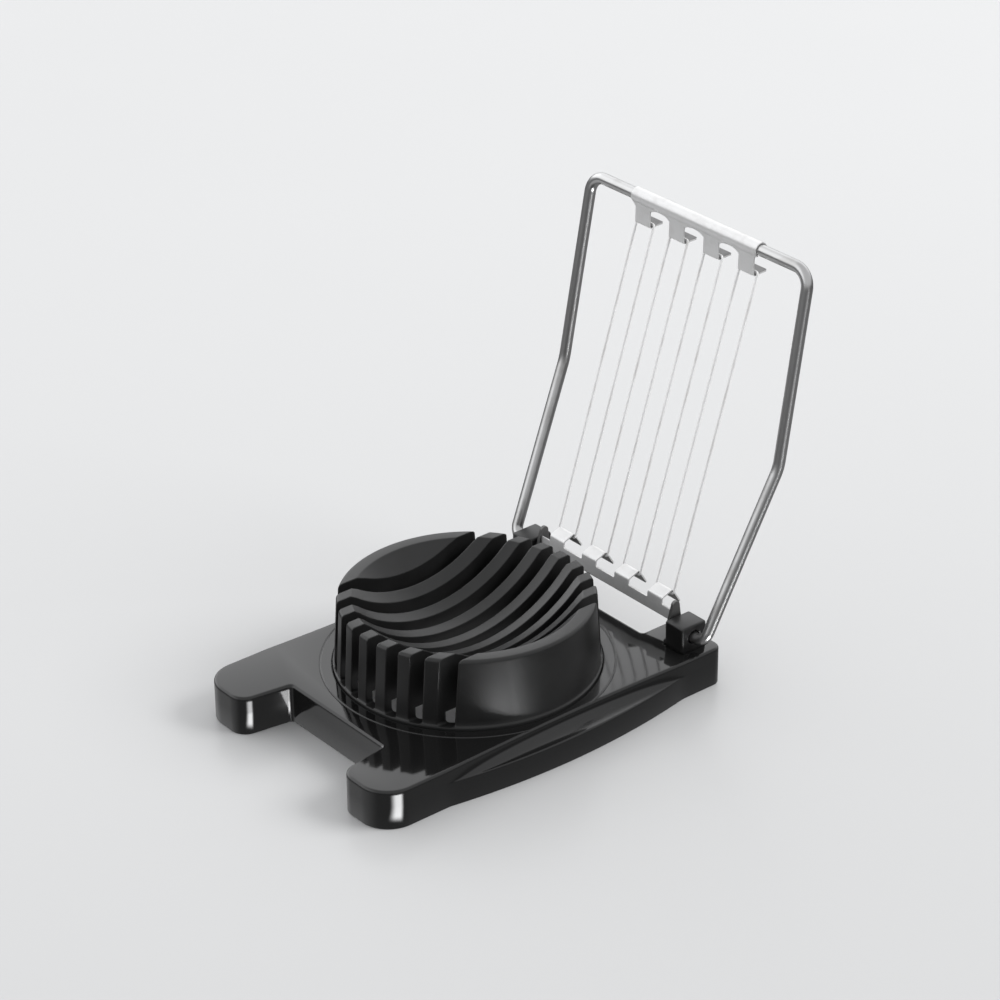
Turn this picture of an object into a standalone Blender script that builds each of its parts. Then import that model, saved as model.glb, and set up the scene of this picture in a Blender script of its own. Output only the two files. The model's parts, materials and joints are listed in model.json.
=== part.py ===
"""Wire egg slicer: a black base with a slotted dish, and a hinged frame of bent wire.

The frame carries two sheet-metal combs with four loops of cutting wire between them.
It stands open, leaning back against its stop, and closes forward onto the two feet.
Metres, +Z up. The dish's axis is the design centre; the assembly empty then puts the
centre of the whole object's box over the origin, with the base standing on Z = 0.
"""

import math

import bmesh
import bpy
from mathutils import Vector

MM = 0.001
GAP = 0.3 * MM  # clearance between pieces that touch on the real object

# The slices: everything across the slicer follows from their number and thickness
SLOT_COUNT = 8
SLOT_PITCH = 6.1 * MM
SLOT_WIDTH = 3.2 * MM
SLOTS_HALF_WIDTH = SLOT_COUNT * SLOT_PITCH / 2

# Heights of the deck and of the dish that stands through it
DECK_TOP = 10.2 * MM
DECK_THICKNESS = 2.2 * MM
SLOT_FLOOR_ABOVE_DECK = 0.6 * MM

# Slotted dish
DISH_FOOT_RADIUS = SLOTS_HALF_WIDTH + 8.1 * MM
DISH_RIM_RADIUS = DISH_FOOT_RADIUS - 1.3 * MM
DISH_RIM_HEIGHT = DECK_TOP + 18.0 * MM
DISH_WALL = 2.5 * MM
BOWL_RADIUS = DISH_RIM_RADIUS - 3.9 * MM  # at the rim
BOWL_DEPTH = 11.7 * MM
BOWL_FLOOR = 2.9 * MM
RIM_ROUND = 0.8 * MM
FLANGE_RADIUS = DISH_FOOT_RADIUS + 1.5 * MM
FLANGE_THICKNESS = 1.5 * MM
HOOK_WIDTH = 5.0 * MM
HOOK_THICKNESS = 1.3 * MM
HOOK_LIP = 1.1 * MM
HOOK_ANGLES = (50.0, 130.0, 230.0, 310.0)

# Base plate: an open shell with two front feet and two rear ears
BASE_WALL = 2.0 * MM
FRONT_NOTCH_DEPTH = 13.8 * MM
REAR_NOTCH_DEPTH = 10.8 * MM
BASE_HALF_WIDTH = DISH_FOOT_RADIUS + 2.9 * MM
BASE_FRONT = DISH_FOOT_RADIUS + 7.2 * MM + FRONT_NOTCH_DEPTH  # dish axis to the feet's tips
BASE_REAR = DISH_FOOT_RADIUS + 7.5 * MM + REAR_NOTCH_DEPTH  # dish axis to the ears' backs
FOOT_RADIUS = 8.0 * MM  # outer corner of a foot's tip
FOOT_INNER_RADIUS = 4.4 * MM  # inner corner of a foot's tip
FOOT_WIDTH = 16.3 * MM  # at the tip
EDGE_RADIUS = 0.7 * MM
LEDGE_SLOPE = 0.42 * MM  # breaks the ledge's edge
BOTTOM_EDGE = 0.3 * MM
REAR_CORNER_RADIUS = 2.6 * MM
NOTCH_CORNER_RADIUS = 1.2 * MM
FRONT_NOTCH_HALF_WIDTH = BASE_HALF_WIDTH / 2

# The flanks swell outwards below a cove, which makes room for the dish's flange
BULGE = 3.4 * MM
BULGE_TOP = 6.5 * MM
BULGE_LENGTH = BASE_FRONT + BASE_REAR - 32.3 * MM
BULGE_CENTRE = 2.0 * MM
WAIST = 0.9 * MM

# Hinge blocks on the ears, and the axis of the frame
HINGE_Y = BASE_REAR - 6.4 * MM
HINGE_Z = DECK_TOP + 3.3 * MM
BLOCK_INNER_X = SLOTS_HALF_WIDTH + 1.3 * MM
REAR_NOTCH_HALF_WIDTH = BLOCK_INNER_X - 7.5 * MM
BLOCK_WIDTH = 6.3 * MM
BLOCK_DEPTH = 7.8 * MM
BLOCK_HEIGHT = 6.6 * MM  # above the deck
BLOCK_SOCKET = 1.0 * MM
BLOCK_EDGE = 0.5 * MM
PEG_RADIUS = 2.0 * MM
PEG_LENGTH = 1.8 * MM
PIVOT_CLEARANCE = 0.15 * MM

# Frame of round wire; heights and depths are counted from the hinge axis
FRAME_WIRE_RADIUS = 1.45 * MM
ARM_X_AT_HINGE = BLOCK_INNER_X + BLOCK_WIDTH + 3.5 * MM
ARM_X_AT_KINK = ARM_X_AT_HINGE + 3.5 * MM
ARM_X_AT_TOP = ARM_X_AT_KINK - 0.7 * MM
KINK_BACK = 19.5 * MM
KINK_UP = 42.3 * MM
CROSSBAR_BACK = 28.1 * MM
CROSSBAR_INSET = 3.2 * MM  # behind the feet's tips, once the frame is closed
HINGE_BEND = 3.0 * MM
KINK_BEND = 14.0 * MM
CORNER_BEND = 4.5 * MM

# Cutting wires and the combs that hold them
CUTTING_WIRE_RADIUS = 0.3 * MM
LOOP_COUNT = 4
LOOP_TURN = 0.48 * MM
SHEET = 0.5 * MM
TAB_SIDE_CLEARANCE = 0.15 * MM
WIRE_LOW_BACK = 2.7 * MM
WIRE_LOW_UP = 6.3 * MM
WIRE_TOP_BELOW_CROSSBAR = 6.0 * MM
WIRE_TOP_AHEAD = 0.2 * MM
UPPER_STRIP_HALF_LENGTH = SLOTS_HALF_WIDTH - 2.4 * MM
UPPER_FLANGE = 4.6 * MM
UPPER_FLANGE_RISE = 20.0  # degrees, up from square to the wires
UPPER_BEND = Vector((1.2, 1.6))  # ahead of and below the wires' turns, in seats of a tab
WRAP_CLEARANCE = 0.15 * MM
WRAP_START = -35.0  # degrees from +Y, at the back of the crossbar
LOWER_STRIP_HEIGHT = 4.4 * MM
LOWER_STRIP_SHARE = 0.62  # of that height, left between the tabs
LOWER_LIP = Vector((1.5, -1.3)) * MM
LOWER_TAB = Vector((3.3, 1.2)) * MM  # depth and rise of a tab's top
LOWER_CREST = Vector((0.2, 1.5))  # behind and above the wires' turns, in seats of a tab
LOWER_LEAN = 0.2 * MM
LOWER_FLANGE = 5.2 * MM
LOWER_FLANGE_SLOPE = 58.0  # degrees below level
LUG_THICKNESS = 0.8 * MM
LUG_EYE_RADIUS = 2.3 * MM
LUG_HEIGHT = 7.9 * MM
LUG_TOP_FRONT = 0.7 * MM  # less than at the back, so that it clears the deck when closed
LUG_TOP_REAR = 1.5 * MM
LUG_TO_BLOCK = 0.7 * MM
WIRE_END_BEYOND_LUG = 0.9 * MM

BLACK_GLOSS = (0.012, 0.012, 0.013, 1.0)
BLACK_MATT = (0.022, 0.022, 0.023, 1.0)
STEEL = (0.50, 0.50, 0.50, 1.0)
BRIGHT_STEEL = (0.78, 0.78, 0.77, 1.0)


# ---------------------------------------------------------------- scene and helpers

for old in list(bpy.data.objects):
    bpy.data.objects.remove(old, do_unlink=True)

parts = bpy.data.collections.new("egg_slicer")
cutters = bpy.data.collections.new("cutters")
bpy.context.scene.collection.children.link(parts)
bpy.context.scene.collection.children.link(cutters)


def empty(name, place, parent=None):
    """An empty at a world place; what hangs on it keeps its own world place."""
    made = bpy.data.objects.new(name, None)
    parts.objects.link(made)
    made.location = place
    if parent:
        hang(made, parent)
    return made


def hang(obj, parent):
    obj.parent = parent
    obj.matrix_parent_inverse = parent.matrix_world.inverted()


assembly = empty("assembly", (0.0, 0.0, 0.0))
hinge = empty("hinge", (0.0, HINGE_Y, HINGE_Z), assembly)
bpy.context.view_layer.update()


def material(name, colour, roughness, metallic):
    made = bpy.data.materials.new(name)
    made.use_nodes = True
    shader = made.node_tree.nodes["Principled BSDF"]
    shader.inputs["Base Color"].default_value = colour
    shader.inputs["Roughness"].default_value = roughness
    shader.inputs["Metallic"].default_value = metallic
    return made


def mesh_object(name, bm):
    """A mesh object from a bmesh, in no collection yet."""
    mesh = bpy.data.meshes.new(name)
    bm.to_mesh(mesh)
    bm.free()
    return bpy.data.objects.new(name, mesh)


def part(obj, mat, parent):
    """Put a finished piece in the part's collection, on the assembly or on the hinge."""
    parts.objects.link(obj)
    obj.data.materials.clear()
    obj.data.materials.append(mat)
    obj.data.shade_smooth()
    obj.data.set_sharp_from_angle(angle=math.radians(35.0))
    hang(obj, parent)
    return obj


def helper(obj, group):
    """A cutter or an added shape, which is not a piece of its own."""
    group.objects.link(obj)
    obj.hide_render = True
    obj.display_type = "WIRE"
    hang(obj, assembly)
    return obj


def helper_group(name):
    group = bpy.data.collections.new(name)
    cutters.children.link(group)
    return group


def boolean(obj, operation, group):
    modifier = obj.modifiers.new(operation.lower(), "BOOLEAN")
    modifier.operation = operation
    modifier.operand_type = "COLLECTION"
    modifier.collection = group
    modifier.solver = "EXACT"


def box(name, low, high):
    bm = bmesh.new()
    bmesh.ops.create_cube(bm, size=1.0)
    low, high = Vector(low), Vector(high)
    bmesh.ops.scale(bm, vec=high - low, verts=bm.verts)
    bmesh.ops.translate(bm, vec=(low + high) / 2, verts=bm.verts)
    return mesh_object(name, bm)


def cylinder(name, radius, low, high, centre=(0.0, 0.0), axis="Z", segments=32):
    """A cylinder from low to high along its axis; centre holds the other two places."""
    bm = bmesh.new()
    bmesh.ops.create_cone(bm, cap_ends=True, segments=segments, radius1=radius, radius2=radius,
                          depth=high - low)
    if axis == "X":
        bmesh.ops.rotate(bm, matrix=Vector((0, 0, 1)).rotation_difference((1, 0, 0)).to_matrix(),
                         verts=bm.verts)
        place = Vector(((low + high) / 2, centre[0], centre[1]))
    else:
        place = Vector((centre[0], centre[1], (low + high) / 2))
    bmesh.ops.translate(bm, vec=place, verts=bm.verts)
    return mesh_object(name, bm)


def curve_to_mesh(curve_object):
    """Replace a curve object by the mesh it draws, with its caps welded."""
    bpy.context.scene.collection.objects.link(curve_object)
    bpy.context.view_layer.update()
    evaluated = curve_object.evaluated_get(bpy.context.evaluated_depsgraph_get())
    mesh = bpy.data.meshes.new_from_object(evaluated)
    matrix = curve_object.matrix_world.copy()
    name = curve_object.name
    bpy.data.objects.remove(curve_object, do_unlink=True)
    bm = bmesh.new()
    bm.from_mesh(mesh)
    bmesh.ops.remove_doubles(bm, verts=bm.verts, dist=0.00001)
    bm.to_mesh(mesh)
    bm.free()
    made = bpy.data.objects.new(name, mesh)
    made.matrix_world = matrix
    return made


def plate(name, outline, low, high, along="Z"):
    """A flat outline given a thickness: (x, y) along Z, or (y, z) along X."""
    curve = bpy.data.curves.new(name, "CURVE")
    curve.dimensions = "2D"
    curve.fill_mode = "BOTH"
    curve.extrude = (high - low) / 2
    spline = curve.splines.new("POLY")
    spline.points.add(len(outline) - 1)
    for point, (u, v) in zip(spline.points, outline):
        point.co = (u, v, 0.0, 1.0)
    spline.use_cyclic_u = True
    made = bpy.data.objects.new(name, curve)
    if along == "X":
        made.rotation_euler = (math.pi / 2, 0.0, math.pi / 2)
        made.location.x = (low + high) / 2
    else:
        made.location.z = (low + high) / 2
    return curve_to_mesh(made)


def wire(name, path, radius, closed=False):
    """A round wire along a path of points."""
    curve = bpy.data.curves.new(name, "CURVE")
    curve.dimensions = "3D"
    curve.bevel_depth = radius
    curve.bevel_resolution = 2
    curve.use_fill_caps = not closed
    spline = curve.splines.new("POLY")
    spline.points.add(len(path) - 1)
    for point, place in zip(spline.points, path):
        point.co = (*place, 1.0)
    spline.use_cyclic_u = closed
    return curve_to_mesh(bpy.data.objects.new(name, curve))


def arc(centre, radius, start, end, steps):
    """Points on an arc between two angles in degrees, both ends included."""
    points = []
    for i in range(steps + 1):
        angle = math.radians(start + (end - start) * i / steps)
        points.append((centre[0] + radius * math.cos(angle), centre[1] + radius * math.sin(angle)))
    return points


def rounded(path, radii, steps=5, closed=False):
    """A path of straight runs with each corner replaced by an arc of its own radius."""
    path = [Vector(p) for p in path]
    count = len(path)
    points = []
    for i, corner in enumerate(path):
        if not closed and i in (0, count - 1):
            points.append(corner)
            continue
        back = (path[i - 1] - corner).normalized()
        ahead = (path[(i + 1) % count] - corner).normalized()
        half = back.angle(ahead) / 2
        reach = radii[i] / math.tan(half)
        centre = corner + (back + ahead).normalized() * radii[i] / math.sin(half)
        start = corner + back * reach - centre
        end = corner + ahead * reach - centre
        sweep = start.angle(end)
        for k in range(steps + 1):
            t = k / steps
            mix = start * math.sin((1 - t) * sweep) + end * math.sin(t * sweep)
            points.append(centre + mix / math.sin(sweep))
    return points


def sheet_outline(middle, thickness):
    """The closed outline of a bent sheet, from the line through the middle of its wall."""
    middle = [Vector(p) for p in middle]
    sides = ([], [])
    for i, point in enumerate(middle):
        before = middle[max(i - 1, 0)]
        after = middle[min(i + 1, len(middle) - 1)]
        into = (point - before).normalized() if i else (after - point).normalized()
        out = (after - point).normalized() if i < len(middle) - 1 else into
        along = (into + out).normalized()
        normal = Vector((-along.y, along.x))
        offset = normal * thickness / 2 / max(0.5, into.dot(along))
        sides[0].append(point + offset)
        sides[1].append(point - offset)
    return [tuple(p) for p in sides[0] + sides[1][::-1]]


# ---------------------------------------------------------------- base plate

NOTCH_Y = -BASE_FRONT + FRONT_NOTCH_DEPTH
REAR_NOTCH_Y = BASE_REAR - REAR_NOTCH_DEPTH
DECK_UNDERSIDE = DECK_TOP - DECK_THICKNESS
SIDE_STEPS = 18


def flank(y, swell):
    """How far the side stands out at y: a lens over the length of the bulge."""
    t = (y - BULGE_CENTRE) / (BULGE_LENGTH / 2)
    return swell * max(0.0, 1.0 - t * t)


def base_outline(inset=0.0, swell=0.0):
    """The base seen from above, moved inwards by inset, its sides swollen by swell."""
    side = BASE_HALF_WIDTH - inset
    radius = FOOT_RADIUS - inset
    inner_radius = FOOT_INNER_RADIUS - inset
    foot = (BASE_HALF_WIDTH - FOOT_RADIUS, -BASE_FRONT + FOOT_RADIUS)
    inner_foot = (BASE_HALF_WIDTH - FOOT_WIDTH + FOOT_INNER_RADIUS, -BASE_FRONT + FOOT_INNER_RADIUS)
    inner = (FRONT_NOTCH_HALF_WIDTH + inset, NOTCH_Y + inset)
    to_foot = Vector(inner_foot) - Vector(inner)
    tangent = math.degrees(math.atan2(-to_foot.y, -to_foot.x)
                           + math.acos(min(1.0, inner_radius / to_foot.length)))
    touch = Vector(arc(inner_foot, inner_radius, tangent, tangent, 1)[0])
    notch = rounded([(0.0, inner[1]), inner, touch], [0, NOTCH_CORNER_RADIUS, 0], 3)
    right = [tuple(p) for p in notch[:-1]]
    right += arc(inner_foot, inner_radius, tangent, 270.0, 8)
    right += arc(foot, radius, 270.0, 360.0, 9)

    rear = BASE_REAR - inset
    corner = (side - REAR_CORNER_RADIUS + inset * 0.5, rear - REAR_CORNER_RADIUS + inset * 0.5)
    corner_radius = REAR_CORNER_RADIUS - inset * 0.5
    front_end = foot[1]
    for i in range(1, SIDE_STEPS):
        y = front_end + (corner[1] - front_end) * i / SIDE_STEPS
        right.append((side + flank(y, swell), y))
    right += arc(corner, corner_radius, 0.0, 90.0, 6)
    ear = REAR_NOTCH_HALF_WIDTH + inset
    ear_path = [corner_tip(corner, corner_radius), (ear, rear), (ear, REAR_NOTCH_Y - inset),
                (0.0, REAR_NOTCH_Y - inset)]
    ear_radii = [0, NOTCH_CORNER_RADIUS, NOTCH_CORNER_RADIUS, 0]
    right += [tuple(p) for p in rounded(ear_path, ear_radii, 3)[1:]]
    left = [(-x, y) for x, y in right[1:-1]]
    return right + left[::-1]


def corner_tip(centre, radius):
    return (centre[0], centre[1] + radius)


def base_skin():
    """The outside of the base, as level sections from the floor to the deck."""
    levels = [(0.0, BOTTOM_EDGE, BULGE), (BOTTOM_EDGE, 0.0, BULGE)]
    ledge = BULGE_TOP - LEDGE_SLOPE
    levels.append((ledge, 0.0, BULGE))
    cove_start = BULGE - LEDGE_SLOPE
    cove_end = DECK_TOP - EDGE_RADIUS
    for i in range(5):
        turn = math.radians(90.0 * i / 4)
        out = cove_start + (-WAIST - cove_start) * math.sin(turn)
        levels.append((cove_end + (BULGE_TOP - cove_end) * math.cos(turn), 0.0, out))
    for i in range(1, 4):
        turn = math.radians(30.0 * i)
        levels.append((cove_end + EDGE_RADIUS * math.sin(turn),
                       EDGE_RADIUS * (1.0 - math.cos(turn)), -WAIST))
    bm = bmesh.new()
    rings = []
    for z, inset, swell in levels:
        rings.append([bm.verts.new((x, y, z)) for x, y in base_outline(inset, swell)])
    for low, high in zip(rings, rings[1:]):
        for i in range(len(low)):
            j = (i + 1) % len(low)
            bm.faces.new((low[i], low[j], high[j], high[i]))
    bm.faces.new(rings[0][::-1])
    bm.faces.new(rings[-1])
    return mesh_object("base_plate", bm)


def block_place(side):
    """Lowest and highest corners of a hinge block above the floor of its socket."""
    inner, outer = BLOCK_INNER_X, BLOCK_INNER_X + BLOCK_WIDTH
    if side < 0:
        inner, outer = -outer, -inner
    low = (inner, HINGE_Y - BLOCK_DEPTH / 2, DECK_TOP - BLOCK_SOCKET + GAP)
    return low, (outer, HINGE_Y + BLOCK_DEPTH / 2, DECK_TOP + BLOCK_HEIGHT)


def snap_hook(angle, group):
    """A hook under the deck, outside the dish's flange, with its lip below it."""
    near = FLANGE_RADIUS + GAP
    flange_low = DECK_UNDERSIDE - GAP - FLANGE_THICKNESS
    turn = math.radians(angle)
    stem = box("hook_stem", (near, -HOOK_WIDTH / 2, flange_low - GAP - HOOK_LIP),
               (near + HOOK_THICKNESS, HOOK_WIDTH / 2, DECK_UNDERSIDE + GAP))
    lip = box("hook_lip", (near - HOOK_LIP, -HOOK_WIDTH / 2, flange_low - GAP - HOOK_LIP),
              (near + HOOK_THICKNESS / 2, HOOK_WIDTH / 2, flange_low - GAP))
    for piece in (stem, lip):
        piece.rotation_euler.z = turn
        helper(piece, group)


def make_base(mat):
    base = base_skin()
    cuts = helper_group("base_cuts")
    below = -1.0 * MM
    pocket = plate("pocket", base_outline(BASE_WALL), below, DECK_UNDERSIDE)
    helper(pocket, cuts)
    flange_room = cylinder("flange_room", FLANGE_RADIUS + GAP, below, DECK_UNDERSIDE, segments=96)
    helper(flange_room, cuts)
    opening = cylinder("dish_opening", DISH_FOOT_RADIUS + GAP, below, DECK_TOP * 2, segments=96)
    helper(opening, cuts)
    for side in (-1, 1):
        low, high = block_place(side)
        socket = box("block_socket", (low[0] - GAP, low[1] - GAP, DECK_TOP - BLOCK_SOCKET),
                     (high[0] + GAP, high[1] + GAP, high[2]))
        helper(socket, cuts)
        peg_hole = cylinder("peg_hole", PEG_RADIUS + GAP, below, DECK_TOP,
                            ((low[0] + high[0]) / 2, HINGE_Y), segments=24)
        helper(peg_hole, cuts)
    boolean(base, "DIFFERENCE", cuts)
    hooks = helper_group("base_hooks")
    for angle in HOOK_ANGLES:
        snap_hook(angle, hooks)
    boolean(base, "UNION", hooks)
    return part(base, mat, assembly)


# ---------------------------------------------------------------- slotted dish

def bowl_height(radius):
    """Height of the bowl's surface above the floor at a distance from the dish's axis."""
    sphere = (BOWL_RADIUS ** 2 + BOWL_DEPTH ** 2) / (2 * BOWL_DEPTH)
    bottom = DISH_RIM_HEIGHT - BOWL_DEPTH
    return bottom + sphere - math.sqrt(sphere ** 2 - radius ** 2)


def dish_profile():
    """Half section of the dish, down its outer side from the middle of the bowl."""
    bowl_steps = 9
    points = []
    for i in range(bowl_steps):
        radius = BOWL_RADIUS * i / bowl_steps
        points.append((radius, bowl_height(radius)))
    points.append((BOWL_RADIUS - RIM_ROUND / 2, bowl_height(BOWL_RADIUS - RIM_ROUND / 2)))
    points.append((BOWL_RADIUS + RIM_ROUND / 2, DISH_RIM_HEIGHT))
    rim = (DISH_RIM_RADIUS - RIM_ROUND, DISH_RIM_HEIGHT - RIM_ROUND)
    points += arc(rim, RIM_ROUND, 90.0, 0.0, 3)
    flange_top = DECK_UNDERSIDE - GAP
    flange_low = flange_top - FLANGE_THICKNESS
    inner = DISH_FOOT_RADIUS - DISH_WALL
    underside = DISH_RIM_HEIGHT - BOWL_DEPTH - BOWL_FLOOR
    points += [
        (DISH_FOOT_RADIUS, DECK_TOP + SLOT_FLOOR_ABOVE_DECK),
        (DISH_FOOT_RADIUS, flange_top),
        (FLANGE_RADIUS, flange_top),
        (FLANGE_RADIUS, flange_low),
        (inner, flange_low),
        (inner, underside),
        (0.0, underside),
    ]
    return points


def make_dish(mat):
    bm = bmesh.new()
    verts = [bm.verts.new((r, 0.0, z)) for r, z in dish_profile()]
    for a, b in zip(verts, verts[1:]):
        bm.edges.new((a, b))
    dish = mesh_object("slotted_dish", bm)
    screw = dish.modifiers.new("turn", "SCREW")
    screw.steps = 80
    screw.render_steps = 80
    screw.use_merge_vertices = True
    screw.merge_threshold = 0.00001
    cuts = helper_group("dish_slots")
    reach = FLANGE_RADIUS * 2
    for i in range(SLOT_COUNT):
        x = (i - (SLOT_COUNT - 1) / 2) * SLOT_PITCH
        slot = box("slot", (x - SLOT_WIDTH / 2, -reach, DECK_TOP + SLOT_FLOOR_ABOVE_DECK),
                   (x + SLOT_WIDTH / 2, reach, DISH_RIM_HEIGHT * 2))
        helper(slot, cuts)
    boolean(dish, "DIFFERENCE", cuts)
    return part(dish, mat, assembly)


# ---------------------------------------------------------------- hinge blocks

def make_block(name, side, mat):
    low, high = block_place(side)
    block = box(name, low, high)
    bevel = block.modifiers.new("edges", "BEVEL")
    bevel.width = BLOCK_EDGE
    bevel.segments = 2
    bevel.limit_method = "ANGLE"
    middle = (low[0] + high[0]) / 2
    pegs = helper_group(name + "_peg")
    peg_low = low[2] - PEG_LENGTH
    peg = cylinder("peg", PEG_RADIUS, peg_low, low[2] + GAP, (middle, HINGE_Y), segments=24)
    helper(peg, pegs)
    boolean(block, "UNION", pegs)
    cuts = helper_group(name + "_bore")
    bore = cylinder("bore", FRAME_WIRE_RADIUS + PIVOT_CLEARANCE, low[0] - MM, high[0] + MM,
                    (HINGE_Y, HINGE_Z), axis="X", segments=24)
    helper(bore, cuts)
    boolean(block, "DIFFERENCE", cuts)
    return part(block, mat, assembly)


# ---------------------------------------------------------------- frame

# These vectors hold (y, z) places and directions in the plane the frame swings in
REACH = HINGE_Y + BASE_FRONT - CROSSBAR_INSET
CROSSBAR_UP = math.sqrt(REACH ** 2 - CROSSBAR_BACK ** 2)
CROSSBAR = Vector((HINGE_Y + CROSSBAR_BACK, HINGE_Z + CROSSBAR_UP))
LUG_OUTER_X = BLOCK_INNER_X - LUG_TO_BLOCK
FRAME_END_X = LUG_OUTER_X - LUG_THICKNESS - WIRE_END_BEYOND_LUG
WIRE_LOW = Vector((HINGE_Y + WIRE_LOW_BACK, HINGE_Z + WIRE_LOW_UP))
WIRE_TOP = CROSSBAR - Vector((WIRE_TOP_AHEAD, WIRE_TOP_BELOW_CROSSBAR))
WIRE_UP = (WIRE_TOP - WIRE_LOW).normalized()
WIRE_BACK = Vector((WIRE_UP.y, -WIRE_UP.x))
LOOP_PITCH = 2 * SLOT_PITCH
TAB_HALF_WIDTH = SLOT_PITCH / 2 - CUTTING_WIRE_RADIUS - TAB_SIDE_CLEARANCE
TAB_SEAT = CUTTING_WIRE_RADIUS + GAP / 2 + SHEET / 2  # wire's centre to the sheet's middle
WRAP_RADIUS = FRAME_WIRE_RADIUS + WRAP_CLEARANCE + SHEET / 2


def make_frame(mat):
    arm = [
        (FRAME_END_X, HINGE_Y, HINGE_Z),
        (ARM_X_AT_HINGE, HINGE_Y, HINGE_Z),
        (ARM_X_AT_KINK, HINGE_Y + KINK_BACK, HINGE_Z + KINK_UP),
        (ARM_X_AT_TOP, CROSSBAR.x, CROSSBAR.y),
    ]
    left = [(-x, y, z) for x, y, z in arm]
    radii = [0, HINGE_BEND, KINK_BEND, CORNER_BEND]
    path = rounded(arm + left[::-1], radii + radii[::-1], steps=6)
    return part(wire("frame_wire", path, FRAME_WIRE_RADIUS), mat, hinge)


def loop_centres():
    return [(i - (LOOP_COUNT - 1) / 2) * LOOP_PITCH for i in range(LOOP_COUNT)]


def cut_between_tabs(comb, name, half_length, low, high):
    """Remove the sheet between the tabs and beyond the last ones, inside a Y-Z window."""
    cuts = helper_group(name)
    edges = [-half_length - MM]
    for x in loop_centres():
        edges += [x - TAB_HALF_WIDTH, x + TAB_HALF_WIDTH]
    edges.append(half_length + MM)
    for start, end in zip(edges[0::2], edges[1::2]):
        helper(box("tab_gap", (start, low[0], low[1]), (end, high[0], high[1])), cuts)
    boolean(comb, "DIFFERENCE", cuts)


def upper_comb_line():
    """Middle of the upper comb's sheet: over the crossbar, down, and back under the wires."""
    bend = WIRE_TOP - (WIRE_BACK * UPPER_BEND.x + WIRE_UP * UPPER_BEND.y) * TAB_SEAT
    down = bend - CROSSBAR
    leave = math.degrees(math.atan2(down.y, down.x) - math.acos(WRAP_RADIUS / down.length))
    line = arc(CROSSBAR, WRAP_RADIUS, WRAP_START, leave % 360.0, 14)
    rise = math.radians(UPPER_FLANGE_RISE)
    flange = WIRE_BACK * math.cos(rise) + WIRE_UP * math.sin(rise)
    return line + [tuple(bend), tuple(bend + flange * UPPER_FLANGE)]


def make_upper_comb(mat):
    """A strip wrapped over the crossbar, with tabs bent back under the wires' turns."""
    line = upper_comb_line()
    length = UPPER_STRIP_HALF_LENGTH
    comb = plate("upper_comb", sheet_outline(line, SHEET), -length, length, along="X")
    low = (line[-2][0] - 2 * WRAP_RADIUS, line[-2][1] - 2 * WRAP_RADIUS)
    high = (line[-1][0] + 2 * WRAP_RADIUS, CROSSBAR.y - WRAP_RADIUS - SHEET)
    cut_between_tabs(comb, "upper_comb_gaps", length, low, high)
    return part(comb, mat, hinge)


def lower_comb_line():
    """Middle of the lower comb's sheet: lip, front face, arched top and back flange."""
    crest = WIRE_LOW + LOWER_CREST * TAB_SEAT
    front_top = crest - LOWER_TAB
    front_low = front_top - Vector((LOWER_LEAN, LOWER_STRIP_HEIGHT))
    lip = front_low + LOWER_LIP
    slope = math.radians(LOWER_FLANGE_SLOPE)
    flange = Vector((math.cos(slope), -math.sin(slope))) * LOWER_FLANGE
    return [lip, front_low, front_top, crest, crest + flange]


def lug_outline():
    """A lug seen along the hinge axis: an eye around the wire and a blunt top."""
    eye = arc((HINGE_Y, HINGE_Z), LUG_EYE_RADIUS, -190.0, 10.0, 12)
    top = HINGE_Z + LUG_HEIGHT
    shoulder = top - LUG_EYE_RADIUS / 2
    return eye + [
        (HINGE_Y + LUG_TOP_REAR, shoulder),
        (HINGE_Y + LUG_TOP_REAR / 2, top),
        (HINGE_Y - LUG_TOP_FRONT / 2, top),
        (HINGE_Y - LUG_TOP_FRONT, shoulder),
    ]


def make_lower_comb(mat):
    """A strip across the hinge with an arched tab for each loop and a lug at each end."""
    line = lower_comb_line()
    tip = line[-1]
    length = LUG_OUTER_X - LUG_THICKNESS / 2
    comb = plate("lower_comb", sheet_outline(line, SHEET), -length, length, along="X")
    strip_top = line[1].y + LOWER_STRIP_HEIGHT * LOWER_STRIP_SHARE
    clear_top = WIRE_LOW.y + LOWER_STRIP_HEIGHT
    cut_between_tabs(comb, "lower_comb_gaps", length, (line[1].x - 2 * SHEET, strip_top),
                     (tip.x + 2 * SHEET, clear_top))
    behind = helper_group("lower_comb_flange_gaps")
    half_gap = LOOP_PITCH / 2 - TAB_HALF_WIDTH
    for i in range(LOOP_COUNT + 1):
        x = (i - LOOP_COUNT / 2) * LOOP_PITCH
        helper(box("flange_gap", (x - half_gap, line[0].x + SHEET, tip.y - 2 * SHEET),
                   (x + half_gap, tip.x + 2 * SHEET, strip_top + SHEET)), behind)
    boolean(comb, "DIFFERENCE", behind)
    lugs = helper_group("lower_comb_lugs")
    eyes = helper_group("lower_comb_eyes")
    for side in (-1, 1):
        near, far = sorted((side * LUG_OUTER_X, side * (LUG_OUTER_X - LUG_THICKNESS)))
        helper(plate("lug", lug_outline(), near, far, along="X"), lugs)
        helper(cylinder("eye", FRAME_WIRE_RADIUS + PIVOT_CLEARANCE, near - MM, far + MM,
                        (HINGE_Y, HINGE_Z), axis="X", segments=24), eyes)
    boolean(comb, "UNION", lugs)
    boolean(comb, "DIFFERENCE", eyes)
    return part(comb, mat, hinge)


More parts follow.
